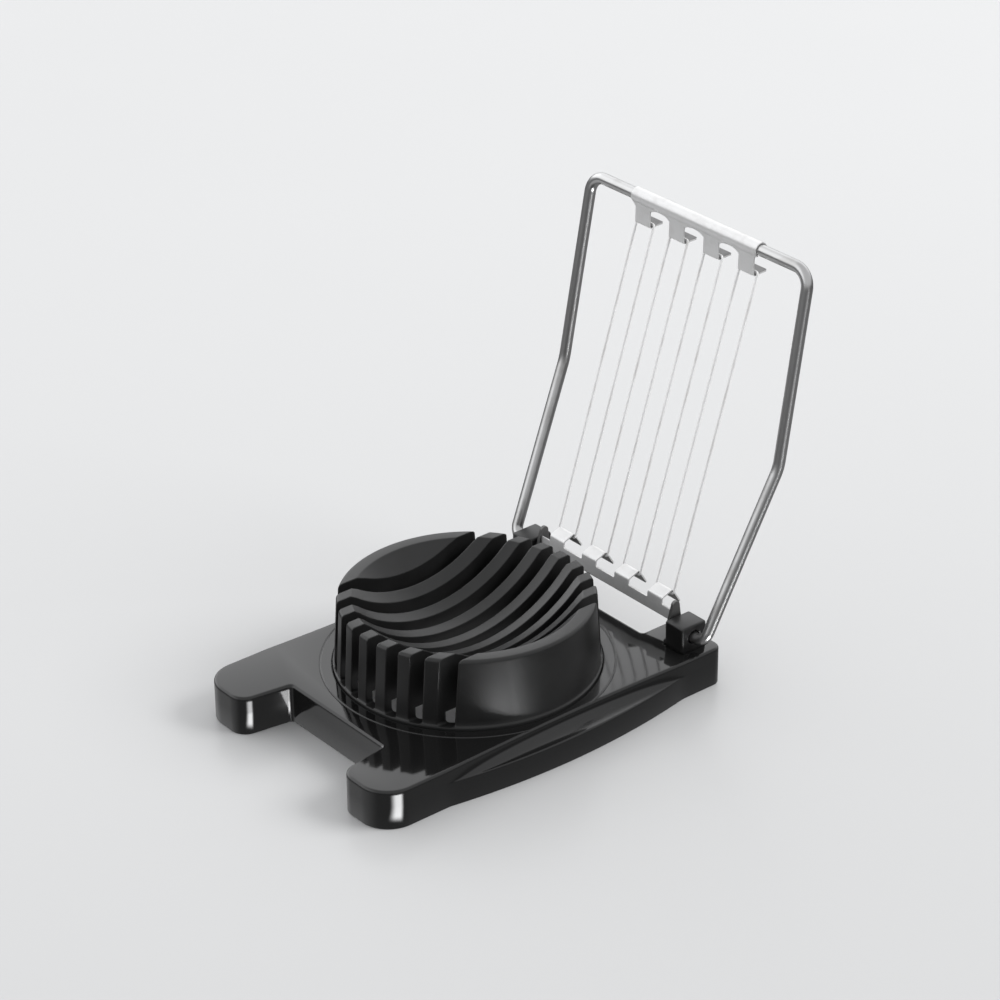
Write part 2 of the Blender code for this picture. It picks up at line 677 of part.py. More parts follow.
def make_loop(number, x, mat):
    """A closed loop of cutting wire, up one side of a pair of tabs and down the other."""
    half = SLOT_PITCH / 2
    corners = []
    for dx, end in ((-half, WIRE_LOW), (half, WIRE_LOW), (half, WIRE_TOP), (-half, WIRE_TOP)):
        corners.append((x + dx, end.x, end.y))
    path = rounded(corners, [LOOP_TURN] * 4, steps=3, closed=True)
    name = f"cutting_wire_{number}"
    return part(wire(name, path, CUTTING_WIRE_RADIUS, closed=True), mat, hinge)


# ---------------------------------------------------------------- assembly

def build():
    gloss = material("gloss_black_plastic", BLACK_GLOSS, 0.12, 0.0)
    matt = material("matt_black_plastic", BLACK_MATT, 0.55, 0.0)
    steel = material("satin_steel_wire", STEEL, 0.32, 1.0)
    bright = material("bright_sheet_steel", BRIGHT_STEEL, 0.22, 1.0)
    thin = material("fine_steel_wire", BRIGHT_STEEL, 0.18, 1.0)
    make_base(gloss)
    make_dish(matt)
    make_block("hinge_block_left", -1, matt)
    make_block("hinge_block_right", 1, matt)
    make_frame(steel)
    make_upper_comb(bright)
    make_lower_comb(bright)
    for number, x in enumerate(loop_centres(), start=1):
        make_loop(number, x, thin)
    bend, tip = [Vector(p) for p in upper_comb_line()[-2:]]
    rearmost = tip.x + abs((tip - bend).normalized().y) * SHEET / 2
    assembly.location.y = (BASE_FRONT - rearmost) / 2


build()
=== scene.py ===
# %% [markdown]
# # An egg slicer, piece by piece
# The slicer is a low, glossy black base with a satin black dish standing in it. A frame of bent
# steel wire turns in two small blocks at the back, and carries two pressed combs with four
# loops of thin wire between them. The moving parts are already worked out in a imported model,
# so this lesson loads that model as a fixed frame, and then builds a finer body for each piece
# exactly where the frame says it stands.

# %% Load the frame
import json
import math

import bmesh
import bpy
from mathutils import Matrix, Vector


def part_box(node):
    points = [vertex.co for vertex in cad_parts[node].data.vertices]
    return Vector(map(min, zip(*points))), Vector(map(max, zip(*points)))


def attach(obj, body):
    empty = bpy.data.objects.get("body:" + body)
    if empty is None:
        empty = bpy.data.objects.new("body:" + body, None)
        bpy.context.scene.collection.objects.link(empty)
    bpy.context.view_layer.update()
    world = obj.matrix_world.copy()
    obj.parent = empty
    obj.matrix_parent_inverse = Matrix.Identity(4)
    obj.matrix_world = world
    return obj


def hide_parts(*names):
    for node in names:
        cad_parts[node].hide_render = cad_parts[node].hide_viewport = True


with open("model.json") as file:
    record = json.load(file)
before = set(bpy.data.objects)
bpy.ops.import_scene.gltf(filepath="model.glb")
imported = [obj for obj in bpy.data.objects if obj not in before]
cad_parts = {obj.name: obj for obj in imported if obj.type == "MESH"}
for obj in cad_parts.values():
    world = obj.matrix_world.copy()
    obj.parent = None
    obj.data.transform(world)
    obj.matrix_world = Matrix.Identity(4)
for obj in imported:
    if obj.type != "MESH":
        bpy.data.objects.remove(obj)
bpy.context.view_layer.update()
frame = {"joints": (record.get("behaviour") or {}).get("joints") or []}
MM = 0.001
hinge_y, hinge_z = frame["joints"][0]["pos_m"][1:3]
dish_low, dish_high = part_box("slotted_dish")
base_low, base_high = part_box("base_plate")
dish_y = (dish_low.y + dish_high.y) / 2
deck_top = base_high.z

# %% [markdown]
# ## Small helpers for shapes
# Most pieces are drawn with the dish's axis as their centre, because that is how a maker would
# measure them. One helper then moves the finished points to the frame's place, so that every
# object stays at the origin with its place in its mesh. The others are the few moves that all
# the pieces share: an arc, a path with rounded corners, a box, and the result of modifiers.

# %% Points and paths


def arc(centre, radius, start, end, steps):
    """Points on an arc between two angles in degrees, both ends included."""
    points = []
    for i in range(steps + 1):
        turn = math.radians(start + (end - start) * i / steps)
        points.append(Vector((centre[0] + radius * math.cos(turn),
                              centre[1] + radius * math.sin(turn))))
    return points


def rounded(path, radii, steps=8):
    """An open path of straight runs, with each inner corner replaced by an arc."""
    path = [Vector(p) for p in path]
    points = [path[0]]
    for i in range(1, len(path) - 1):
        corner = path[i]
        back = (path[i - 1] - corner).normalized()
        ahead = (path[i + 1] - corner).normalized()
        half = back.angle(ahead) / 2
        reach = radii[i] / math.tan(half)
        centre = corner + (back + ahead).normalized() * radii[i] / math.sin(half)
        start = corner + back * reach - centre
        end = corner + ahead * reach - centre
        sweep = start.angle(end)
        for k in range(steps + 1):
            t = k / steps
            mix = start * math.sin((1 - t) * sweep) + end * math.sin(t * sweep)
            points.append(centre + mix / math.sin(sweep))
    return points + [path[-1]]


print("a quarter arc of", len(arc((0, 0), 1.0, 0, 90, 8)), "points")

# %% Meshes and modifiers


def from_bmesh(name, bm):
    """A mesh object whose faces point outwards."""
    bmesh.ops.recalc_face_normals(bm, faces=bm.faces)
    mesh = bpy.data.meshes.new(name)
    bm.to_mesh(mesh)
    bm.free()
    made = bpy.data.objects.new(name, mesh)
    bpy.context.scene.collection.objects.link(made)
    return made


def settled(obj):
    """Turn the object's modifiers into plain mesh and take the modifiers away."""
    bpy.context.view_layer.update()
    seen = obj.evaluated_get(bpy.context.evaluated_depsgraph_get())
    mesh = bpy.data.meshes.new_from_object(seen)
    obj.modifiers.clear()
    obj.data = mesh
    return obj


def boolean(obj, operation, tools):
    """Join or cut with a list of helper objects, which are used up."""
    for tool in tools:
        modifier = obj.modifiers.new(operation.lower(), "BOOLEAN")
        modifier.operation = operation
        modifier.object = tool
        modifier.solver = "EXACT"
    settled(obj)
    for tool in tools:
        bpy.data.objects.remove(tool, do_unlink=True)
    return obj


def smooth(obj, angle=32.0):
    obj.data.shade_smooth()
    obj.data.set_sharp_from_angle(angle=math.radians(angle))
    return obj


def box(name, low, high):
    bm = bmesh.new()
    bmesh.ops.create_cube(bm, size=1.0)
    low, high = Vector(low), Vector(high)
    bmesh.ops.scale(bm, vec=high - low, verts=bm.verts)
    bmesh.ops.translate(bm, vec=(low + high) / 2, verts=bm.verts)
    return from_bmesh(name, bm)


def lathe(name, profile, centre=(0.0, 0.0), steps=128):
    """A closed ring or a solid turned about an upright axis from (radius, height) points."""
    bm = bmesh.new()
    verts = [bm.verts.new((r, 0.0, z)) for r, z in profile]
    edges = [bm.edges.new(pair) for pair in zip(verts, verts[1:])]
    if profile[0][0] > 0.0 or profile[-1][0] > 0.0:
        edges.append(bm.edges.new((verts[-1], verts[0])))
    bmesh.ops.spin(bm, geom=verts + edges, cent=(0, 0, 0), axis=(0, 0, 1),
                   angle=math.tau, steps=steps, use_merge=True)
    bmesh.ops.remove_doubles(bm, verts=bm.verts, dist=0.002 * MM)
    bmesh.ops.translate(bm, vec=(centre[0], centre[1], 0.0), verts=bm.verts)
    return from_bmesh(name, bm)


def disc(name, radius, low, high, centre=(0.0, 0.0), steps=96):
    return lathe(name, [(0.0, low), (radius, low), (radius, high), (0.0, high)], centre, steps)


def put(obj, material, body, *nodes, slot):
    """Finish a piece: its place, its finish, its body, and the frame nodes it stands for."""
    obj.data.transform(Matrix.Translation((0.0, dish_y, 0.0)))
    obj.data.materials.clear()
    obj.data.materials.append(material)
    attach(obj, body)
    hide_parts(*nodes)
    print(f"{obj.name}: {len(obj.data.polygons)} faces on {body}")
    return obj


print("shape helpers ready")

# %% [markdown]
# ## A short way to write finishes
# A finish is a web of shader nodes. Written out link by link it hides what it does, so one
# small class holds a socket and lets sums be written as sums: each sum adds its Math node.
# One method adds every other kind of node, with its settings first and its sockets after.

# %% Shader sums


class Signal:
    """A socket in a shader, which can be added to, taken from and multiplied."""

    def __init__(self, tree, socket=None):
        self.tree = tree
        self.socket = socket

    def node(self, kind, settings=None, values=None, out=0):
        made = self.tree.nodes.new(kind)
        for name, value in (settings or {}).items():
            if name == "stops":
                ramp = made.color_ramp.elements
                while len(ramp) < len(value):
                    ramp.new(0.5)
                for stop, (place, colour) in zip(ramp, value):
                    stop.position = place
                    stop.color = colour
            else:
                setattr(made, name, value)
        for name, value in (values or {}).items():
            if isinstance(value, Signal):
                self.tree.links.new(value.socket, made.inputs[name])
            else:
                made.inputs[name].default_value = value
        return Signal(self.tree, made.outputs[out])

    def sum(self, operation, first, second):
        return self.node("ShaderNodeMath", {"operation": operation}, {0: first, 1: second})

    def __add__(self, other):
        return self.sum("ADD", self, other)

    __radd__ = __add__

    def __sub__(self, other):
        return self.sum("SUBTRACT", self, other)

    def __rsub__(self, other):
        return self.sum("SUBTRACT", other, self)

    def __mul__(self, other):
        return self.sum("MULTIPLY", self, other)

    __rmul__ = __mul__

    def __pow__(self, other):
        return self.sum("POWER", self, other)

    def between(self, low, high):
        """0 below low, 1 above high, and a smooth step in between."""
        return self.node("ShaderNodeMapRange", {"interpolation_type": "SMOOTHSTEP"},
                         {"Value": self, "From Min": low, "From Max": high})


def grey(value, tint=0.0):
    """A nearly neutral colour, a little warmer with a positive tint."""
    return (value * (1 + tint), value, value * (1 - tint), 1.0)


class Finish:
    """A material with its shader, and the patterns that most of the finishes use."""

    def __init__(self, name, fixed):
        self.material = bpy.data.materials.new(name)
        self.material.use_nodes = True
        self.tree = self.material.node_tree
        self.shader = self.tree.nodes["Principled BSDF"]
        for socket, value in fixed.items():
            self.shader.inputs[socket].default_value = value
        self.start = Signal(self.tree)
        self.place = self.start.node("ShaderNodeTexCoord", out=3)

    def noise(self, scale, stretch=(1.0, 1.0, 1.0), detail=3.0, roughness=0.5):
        """Noise whose scale is counted in waves for each metre."""
        where = self.start.node("ShaderNodeMapping", {"vector_type": "POINT"},
                                {"Vector": self.place, "Scale": stretch})
        return self.start.node("ShaderNodeTexNoise", None, {
            "Vector": where, "Scale": scale, "Detail": detail, "Roughness": roughness})

    def soft_edges(self, radius):
        """The normal as if every edge were rounded, and how near an edge a point is."""
        bevel = self.start.node("ShaderNodeBevel", {"samples": 4}, {"Radius": radius})
        flat = self.start.node("ShaderNodeNewGeometry", out=1)
        facing = self.start.node("ShaderNodeVectorMath", {"operation": "DOT_PRODUCT"},
                                 {0: bevel, 1: flat}, out=1)
        return bevel, (1.0 - facing).between(0.02, 0.25)

    def colours(self, share, low, high):
        """A colour between low and high, by a share from 0 to 1."""
        return self.start.node("ShaderNodeMix", {"data_type": "RGBA"},
                               {0: share, 6: low, 7: high}, out=2)

    def bumps(self, height, depth, normal=None):
        """A bump whose depth is in metres, on top of another normal."""
        values = {"Height": height, "Distance": depth, "Strength": 1.0}
        if normal:
            values["Normal"] = normal
        return self.start.node("ShaderNodeBump", None, values)

    def use(self, **signals):
        """Send what varies over the surface to the shader's sockets."""
        for name, signal in signals.items():
            socket = self.shader.inputs[name.replace("_", " ")]
            self.tree.links.new(signal.socket, socket)
        return self.material


print("shader helpers ready")

# %% [markdown]
# ## Glossy black plastic
# The base is moulded in a polished mould, so its deck mirrors the dish. Real polish is never
# even: the skin ripples very slightly where the plastic shrank, handling leaves hair scratches
# and dull patches, and the edges are rubbed a little lighter. Each of these is its own noise.

# %% Glossy black plastic
gloss = Finish("gloss_black_plastic", {"IOR": 1.5, "Specular IOR Level": 0.55})
gloss_normal, gloss_edge = gloss.soft_edges(0.35 * MM)
gloss_patches = gloss.noise(55.0, detail=4.0).between(0.42, 0.72)
gloss_hairs = gloss.noise(260.0, (1.0, 14.0, 1.0), detail=5.0, roughness=0.7).between(0.60, 0.78)
gloss_specks = gloss.noise(2600.0, detail=1.0).between(0.72, 0.80)
gloss_ripple = gloss.noise(30.0, detail=1.0)
gloss_colour = gloss.colours(gloss_edge * 0.35 + gloss_specks * 0.25,
                             grey(0.0060), grey(0.022))
gloss_dullness = 0.075 + gloss_patches * 0.03 + gloss_hairs * 0.03 + gloss_edge * 0.06
gloss_surface = gloss.bumps(gloss_hairs, 0.0004 * MM,
                            gloss.bumps(gloss_ripple, 0.030 * MM, gloss_normal))
gloss_black = gloss.use(Base_Color=gloss_colour, Roughness=gloss_dullness, Normal=gloss_surface)
print(gloss_black.name, len(gloss.tree.nodes), "nodes")

# %% [markdown]
# ## Satin black plastic
# The dish and the hinge blocks come from a mould with a fine spark-eroded grain. The grain is
# about a quarter of a millimetre across, and it spreads highlights wide. The bowl is polished
# slightly by eggs and by washing, so the grain gets its own slow variation in roughness.

# %% Satin black plastic
satin = Finish("matt_black_plastic", {"IOR": 1.5, "Specular IOR Level": 0.45})
satin_normal, satin_edge = satin.soft_edges(0.45 * MM)
satin_grain = satin.noise(4200.0, detail=2.0)
satin_wash = satin.noise(90.0, detail=3.0).between(0.35, 0.7)
satin_colour = satin.colours(satin_edge * 0.5 + satin_wash * 0.2, grey(0.0085), grey(0.026))
satin_dullness = 0.35 + satin_wash * 0.05 - satin_edge * 0.08
satin_surface = satin.bumps(satin_grain, 0.012 * MM, satin_normal)
satin_black = satin.use(Base_Color=satin_colour, Roughness=satin_dullness, Normal=satin_surface)
print(satin_black.name, len(satin.tree.nodes), "nodes")

# %% [markdown]
# ## Steel: drawn wire and pressed sheet
# Drawn wire has fine lines along its length, so its pattern follows two attributes that the
# wire's own tree stores: how far along the wire a point is, and where round it. Pressed sheet
# is brighter, with rolling lines across the strip, and it keeps the waves that the press left,
# which is what breaks its reflections into bright and dark patches. Shade is painted into its
# colour: the insides of its bends, its sheltered corners and the lower comb's lugs are painted
# dark.

# %% Drawn wire and pressed sheet


def wire_finish(name, tone, dull, scratches, metallic=1.0):
    """Steel wire: lines along it, a little tarnish, and its normal broken by the lines."""
    steel = Finish(name, {"Metallic": metallic})
    along = steel.start.node("ShaderNodeAttribute", {"attribute_name": "along"}, out=2)
    around = steel.start.node("ShaderNodeAttribute", {"attribute_name": "around"}, out=2)
    path = steel.start.node("ShaderNodeCombineXYZ", None,
                            {"X": along * 60.0, "Y": around * 26.0, "Z": 0.0})
    lines = steel.start.node("ShaderNodeTexNoise", None,
                             {"Vector": path, "Scale": 1.0, "Detail": 4.0, "Roughness": 0.65})
    tarnish = steel.noise(160.0, detail=3.0).between(0.40, 0.75)
    colour = steel.colours(tarnish * 0.7, grey(tone), grey(tone * 0.72, 0.02))
    dullness = dull + lines * scratches + tarnish * 0.06
    return steel.use(Base_Color=colour, Roughness=dullness,
                     Normal=steel.bumps(lines, 0.003 * MM))


drawn_steel = wire_finish("satin_steel_wire", 0.52, 0.24, 0.10)
fine_steel = wire_finish("fine_steel_wire", 0.92, 0.30, 0.10, metallic=0.30)

sheet = Finish("bright_sheet_steel", {"Metallic": 0.5})
sheet_normal = sheet.soft_edges(0.12 * MM)[0]
sheet_lines = sheet.noise(5200.0, (0.02, 1.0, 1.0), detail=3.0)
sheet_waves = sheet.noise(230.0, detail=2.0)
sheet_smears = sheet.noise(420.0, detail=4.0).between(0.45, 0.7)
# Painted shade: an ambient occlusion mask darkens the sheet's colour in its sheltered corners.
sheet_painted_ao_shade = sheet.start.node("ShaderNodeAmbientOcclusion", {"samples": 8},
                                 {"Distance": 2.5 * MM}, out=1).between(0.20, 0.80)
# Painted shade: faces marked inside the bends, and the lower comb's lugs, are painted nearly
# black.
sheet_painted_shade_mask = sheet.start.node("ShaderNodeAttribute", {"attribute_name": "inner"}, out=2)
sheet_clean = sheet.colours(sheet_smears * 0.5, grey(0.70), grey(0.62, 0.01))
sheet_with_painted_ao_shade = sheet.colours(sheet_painted_ao_shade, grey(0.10, 0.01), sheet_clean)
sheet_colour = sheet.colours(sheet_painted_shade_mask, sheet_with_painted_ao_shade, grey(0.030, 0.01))
sheet_dullness = 0.32 + sheet_lines * 0.08 + sheet_smears * 0.10
sheet_surface = sheet.bumps(sheet_lines, 0.0015 * MM,
                            sheet.bumps(sheet_waves, 0.10 * MM, sheet_normal))
bright_sheet = sheet.use(Base_Color=sheet_colour, Roughness=sheet_dullness, Normal=sheet_surface)
print(drawn_steel.name, fine_steel.name, bright_sheet.name)

# %% [markdown]
# ## The base plate
# The base is one moulded shell: a flat deck, two feet at the front, two ears at the back and
# walls down to the table. Below the deck its flanks hollow into a cove and swell out to a
# ledge that follows a lens in plan. A stack of level outlines is the natural way to model it,
# because each outline is the same rule with a different inset and a different swell.

# %% The base's outline in plan
BASE_SIDE = 35.4 * MM
BASE_FRONT = dish_y - base_low.y
BASE_REAR = base_high.y - dish_y
FOOT_RADIUS = 8.0 * MM
FOOT_INNER_RADIUS = 4.4 * MM
FOOT_WIDTH = 16.3 * MM
REAR_CORNER = 2.6 * MM
NOTCH_CORNER = 1.2 * MM
FRONT_NOTCH = (BASE_SIDE / 2, 13.8 * MM)
REAR_NOTCH = (18.2 * MM, 10.8 * MM)
SWELL = base_high.x - BASE_SIDE
SWELL_LENGTH = 72.0 * MM
SWELL_CENTRE = 2.0 * MM
WAIST = 0.9 * MM


def flank(y, swell):
    t = (y - SWELL_CENTRE) / (SWELL_LENGTH / 2)
    return swell * max(0.0, 1.0 - t * t)


def base_outline(inset=0.0, swell=0.0):
    """The base from above, moved in by inset, with its sides swollen by swell."""
    side, inner_radius = BASE_SIDE - inset, FOOT_INNER_RADIUS - inset
    foot = (BASE_SIDE - FOOT_RADIUS, -BASE_FRONT + FOOT_RADIUS)
    inner_foot = (BASE_SIDE - FOOT_WIDTH + FOOT_INNER_RADIUS, -BASE_FRONT + FOOT_INNER_RADIUS)
    inner = (FRONT_NOTCH[0] + inset, -BASE_FRONT + FRONT_NOTCH[1] + inset)
    to_foot = Vector(inner_foot) - Vector(inner)
    tangent = math.degrees(math.atan2(-to_foot.y, -to_foot.x)
                           + math.acos(min(1.0, inner_radius / to_foot.length)))
    touch = arc(inner_foot, inner_radius, tangent, tangent, 1)[0]
    right = rounded([(0.0, inner[1]), inner, touch], [0, NOTCH_CORNER, 0], 5)[:-1]
    right += arc(inner_foot, inner_radius, tangent, 270.0, 16)
    right += arc(foot, FOOT_RADIUS - inset, 270.0, 360.0, 24)
    round_rear = REAR_CORNER - inset * 0.5
    rear = BASE_REAR - inset
    corner = Vector((side - round_rear, rear - round_rear))
    for i in range(1, 48):
        y = foot[1] + (corner.y - foot[1]) * i / 48
        right.append(Vector((side + flank(y, swell), y)))
    right += arc(corner, round_rear, 0.0, 90.0, 10)
    ear = REAR_NOTCH[0] + inset
    notch = BASE_REAR - REAR_NOTCH[1] - inset
    ear_path = [corner + Vector((0, round_rear)), (ear, rear), (ear, notch), (0.0, notch)]
    right += rounded(ear_path, [0, NOTCH_CORNER, NOTCH_CORNER, 0], 5)[1:]
    left = [Vector((-p.x, p.y)) for p in right[1:-1]]
    return right + left[::-1]


print("outline of", len(base_outline()), "points")

# %% The base's skin, in level sections
EDGE = 0.7 * MM
LEDGE_TOP = 6.5 * MM
# Each level is a height, an inset and a swell. The first three round the lower edge.
levels = [(0.0, 0.3 * MM, SWELL), (0.1 * MM, 0.1 * MM, SWELL), (0.3 * MM, 0.0, SWELL)]
ledge_round = 0.45 * MM
for angle in range(0, 91, 18):
    lift = math.radians(angle)
    levels.append((LEDGE_TOP - ledge_round * (1 - math.sin(lift)), 0.0,
                   SWELL - ledge_round * (1 - math.cos(lift))))
cove_foot = SWELL - ledge_round
cove_head = deck_top - EDGE
for i in range(1, 13):
    turn = math.radians(90.0 * i / 12)
    out = cove_foot - (WAIST + cove_foot) * math.sin(turn)
    levels.append((cove_head + (LEDGE_TOP - cove_head) * math.cos(turn), 0.0, out))
for i in range(1, 7):
    turn = math.radians(15.0 * i)
    levels.append((cove_head + EDGE * math.sin(turn), EDGE * (1 - math.cos(turn)), -WAIST))


def loft(name, sections):
    """A closed skin through level outlines, each (height, inset, swell)."""
    bm = bmesh.new()
    rings = []
    for z, inset, swell in sections:
        rings.append([bm.verts.new((p.x, p.y, z)) for p in base_outline(inset, swell)])
    for low, high in zip(rings, rings[1:]):
        for i in range(len(low)):
            j = (i + 1) % len(low)
            bm.faces.new((low[i], low[j], high[j], high[i]))
    bm.faces.new(rings[0][::-1])
    bm.faces.new(rings[-1])
    return from_bmesh(name, bm)


base = loft("base_plate_skin", levels)
print(f"skin of {len(levels)} sections, {len(base.data.polygons)} faces")

# %% [markdown]
# The deck has a round opening for the dish, with a fine line turned into it round the dish
# where the mould's insert met the deck. Below, the shell is hollow, and sockets take the
# hinge blocks. Four snap hooks under the deck hold the dish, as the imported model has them.

# %% Hollow the base and turn its ring line
GAP = 0.3 * MM
DECK_THICK = 2.2 * MM
WALL = 2.0 * MM
DISH_FOOT = 32.5 * MM
FLANGE = (dish_high.x - dish_low.x) / 2
RING_RADIUS = 35.6 * MM
underside = deck_top - DECK_THICK
below = -1.0 * MM
block_low, block_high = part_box("hinge_block_right")
BLOCK_X = (block_low.x, block_high.x)
BLOCK_Y = (block_low.y - dish_y, block_high.y - dish_y)
BLOCK_TOP = block_high.z
SOCKET_FLOOR = deck_top - 1.0 * MM
PEG = 2.0 * MM

pocket = loft("pocket", [(below, WALL, 0.0), (underside, WALL, 0.0)])
cutters = [pocket,
           disc("flange_room", FLANGE + GAP, below, underside, steps=160),
           disc("dish_opening", DISH_FOOT + GAP, below, deck_top * 2, steps=160)]
groove = [Vector((RING_RADIUS, deck_top)) + Vector(p)
          for p in arc((0, 0.06 * MM), 0.22 * MM, 180, 360, 8)]
cutters.append(lathe("ring_line", [tuple(p) for p in groove], steps=256))
for side in (-1, 1):
    low_x, high_x = sorted((side * BLOCK_X[0], side * BLOCK_X[1]))
    cutters.append(box("socket", (low_x - GAP, BLOCK_Y[0] - GAP, SOCKET_FLOOR),
                       (high_x + GAP, BLOCK_Y[1] + GAP, deck_top * 2)))
    cutters.append(disc("peg_hole", PEG + GAP, below, deck_top,
                        ((low_x + high_x) / 2, sum(BLOCK_Y) / 2), 48))
boolean(base, "DIFFERENCE", cutters)

FLANGE_THICK = 1.5 * MM
HOOK_HALF_WIDE, HOOK_THICK, HOOK_LIP = 2.5 * MM, 1.3 * MM, 1.1 * MM
HOOK_ANGLES = (50.0, 130.0, 230.0, 310.0)
hooks = []
hook_low = underside - GAP - FLANGE_THICK - GAP - HOOK_LIP
near = FLANGE + GAP
for angle in HOOK_ANGLES:
    stem = box("hook_stem", (near, -HOOK_HALF_WIDE, hook_low),
               (near + HOOK_THICK, HOOK_HALF_WIDE, underside + GAP))
    lip = box("hook_lip", (near - HOOK_LIP, -HOOK_HALF_WIDE, hook_low),
              (near + HOOK_THICK / 2, HOOK_HALF_WIDE, hook_low + HOOK_LIP))
    for hook in (stem, lip):
        hook.data.transform(Matrix.Rotation(math.radians(angle), 4, "Z"))
        hooks.append(hook)
boolean(base, "UNION", hooks)
smooth(base)
put(base, gloss_black, "base", "base_plate", slot="gloss_black_plastic")

# %% [markdown]
# ## The slotted dish
# The dish is turned: a shallow bowl, a narrow rim with rounded edges, a wall that spreads a
# little to its foot, and a small fillet there. Eight slots run right through it, front to
# back, and leave thin fins. A turned solid and a row of cutters is the honest way to make it,
# and the row is a Geometry Nodes tree, because the slots are one shape repeated at a pitch.

# %% The dish's half section
RIM_HEIGHT = dish_high.z
RIM_RADIUS = 31.2 * MM
BOWL_RADIUS = 27.3 * MM
BOWL_DEPTH = 11.7 * MM
FLOOR_THICK = 2.9 * MM
DISH_WALL = 2.5 * MM
RIM_ROUND = 0.9 * MM
INNER_ROUND = 0.5 * MM
FOOT_FILLET = 0.45 * MM
sphere = (BOWL_RADIUS ** 2 + BOWL_DEPTH ** 2) / (2 * BOWL_DEPTH)
bowl_bottom = RIM_HEIGHT - BOWL_DEPTH


def bowl_height(radius):
    return bowl_bottom + sphere - math.sqrt(sphere ** 2 - radius ** 2)


profile = [(BOWL_RADIUS * i / 30, bowl_height(BOWL_RADIUS * i / 30)) for i in range(30)]
bowl_edge = (BOWL_RADIUS + INNER_ROUND, RIM_HEIGHT - INNER_ROUND)
profile += [tuple(p) for p in arc(bowl_edge, INNER_ROUND, 140.0, 90.0, 4)]
rim = (RIM_RADIUS - RIM_ROUND, RIM_HEIGHT - RIM_ROUND)
profile += [tuple(p) for p in arc(rim, RIM_ROUND, 90.0, 2.0, 8)]
# The wall spreads to its foot, turns out in a small fillet and goes down to the flange.
profile += [(DISH_FOOT - 0.42 * MM, deck_top + 2.2 * MM)]
profile += [tuple(p) for p in arc((DISH_FOOT - 0.02 * MM, deck_top + 1.1 * MM),
                                  FOOT_FILLET, 200.0, 270.0, 5)]
flange_top = underside - GAP
profile += [(DISH_FOOT, deck_top + 0.55 * MM), (DISH_FOOT, flange_top), (FLANGE, flange_top),
            (FLANGE, flange_top - FLANGE_THICK),
            (DISH_FOOT - DISH_WALL, flange_top - FLANGE_THICK),
            (DISH_FOOT - DISH_WALL, bowl_bottom - FLOOR_THICK), (0.0, bowl_bottom - FLOOR_THICK)]
dish = lathe("slotted_dish_finished", profile, steps=224)
print(f"bowl bottom at {bowl_bottom / MM:.1f} mm, sphere of {sphere / MM:.1f} mm")

# %% [markdown]
# Slots, loops and swept wires all come from Geometry Nodes trees. A tree keeps its sizes as
# named inputs, so a reader can open it in Blender and change the pitch or the wire there. The
# class below only shortens the writing: it adds a node, sets it and links it in one line.

# %% Geometry Nodes: a small way to write trees


class Grower:
    """A Geometry Nodes tree with named inputs, written one node at a time."""

    def __init__(self, name, takes_mesh=False):
        self.tree = bpy.data.node_groups.new(name, "GeometryNodeTree")
        if takes_mesh:
            self.tree.interface.new_socket("Geometry", in_out="INPUT",
                                           socket_type="NodeSocketGeometry")
        self.tree.interface.new_socket("Geometry", in_out="OUTPUT",
                                       socket_type="NodeSocketGeometry")
        self.values = {}
        self.entry = self.tree.nodes.new("NodeGroupInput")

    def size(self, name, value, kind="NodeSocketFloat"):
        """A named input of the tree, with the value this object uses."""
        socket = self.tree.interface.new_socket(name, in_out="INPUT", socket_type=kind)
        self.values[socket.identifier] = value
        return self.entry.outputs[name]

    def add(self, kind, settings=None, inputs=None, out=0):
        made = self.tree.nodes.new(kind)
        for name, value in (settings or {}).items():
            setattr(made, name, value)
        for name, value in (inputs or {}).items():
            if isinstance(value, bpy.types.NodeSocket):
                self.tree.links.new(value, made.inputs[name])
            else:
                made.inputs[name].default_value = value
        return made.outputs[out]

    def finish(self, geometry, material):
        """Real copies and their material, as the last two nodes."""
        real = self.add("GeometryNodeRealizeInstances", None, {"Geometry": geometry})
        painted = self.add("GeometryNodeSetMaterial", None,
                           {"Geometry": real, "Material": material})
        self.tree.links.new(painted, self.tree.nodes.new("NodeGroupOutput").inputs[0])

    def grow(self, obj):
        """Run the tree on an object and keep the plain mesh it gives."""
        modifier = obj.modifiers.new("grow", "NODES")
        modifier.node_group = self.tree
        for identifier, value in self.values.items():
            modifier[identifier] = value
        return settled(obj)


def blank(name):
    made = bpy.data.objects.new(name, bpy.data.meshes.new(name))
    bpy.context.scene.collection.objects.link(made)
    return made


print("tree helper ready")

# %% [markdown]
# A slot could be cut one by one, but all eight are one box at an even pitch. The tree grows the
# row of boxes, their edges are rounded so that each slot has a soft root, and one boolean cuts
# them all. The fins that are left are what holds the egg between the slots.

# %% Grow the slot cutters and cut the dish
SLOTS = 8
PITCH = 6.1 * MM
SLOT_WIDE = 3.2 * MM
ROOT_ROUND = 0.7 * MM
slot_floor = deck_top + 0.6 * MM

rows = Grower("slot_cutters")
slot_pitch = rows.size("Pitch", PITCH)
slot_count = rows.size("Slots", SLOTS, "NodeSocketInt")
slot_size = rows.size("Cutter Size", (SLOT_WIDE, 5 * FLANGE, 2 * RIM_HEIGHT), "NodeSocketVector")
step = rows.add("ShaderNodeCombineXYZ", None, {"X": slot_pitch})
line = rows.add("GeometryNodeMeshLine", {"mode": "OFFSET"}, {"Count": slot_count, "Offset": step})
cutter = rows.add("GeometryNodeMeshCube", None, {"Size": slot_size})
row = rows.add("GeometryNodeInstanceOnPoints", None, {"Points": line, "Instance": cutter})
rows.finish(row, satin_black)
slots = rows.grow(blank("slot_cutters"))
slots.data.transform(Matrix.Translation((-(SLOTS - 1) * PITCH / 2, 0.0,
                                         slot_floor + RIM_HEIGHT)))
root_round = slots.modifiers.new("root_round", "BEVEL")
root_round.width = ROOT_ROUND
root_round.segments = 4
settled(slots)
boolean(dish, "DIFFERENCE", [slots])
smooth(dish)
put(dish, satin_black, "base", "slotted_dish", slot="matt_black_plastic")

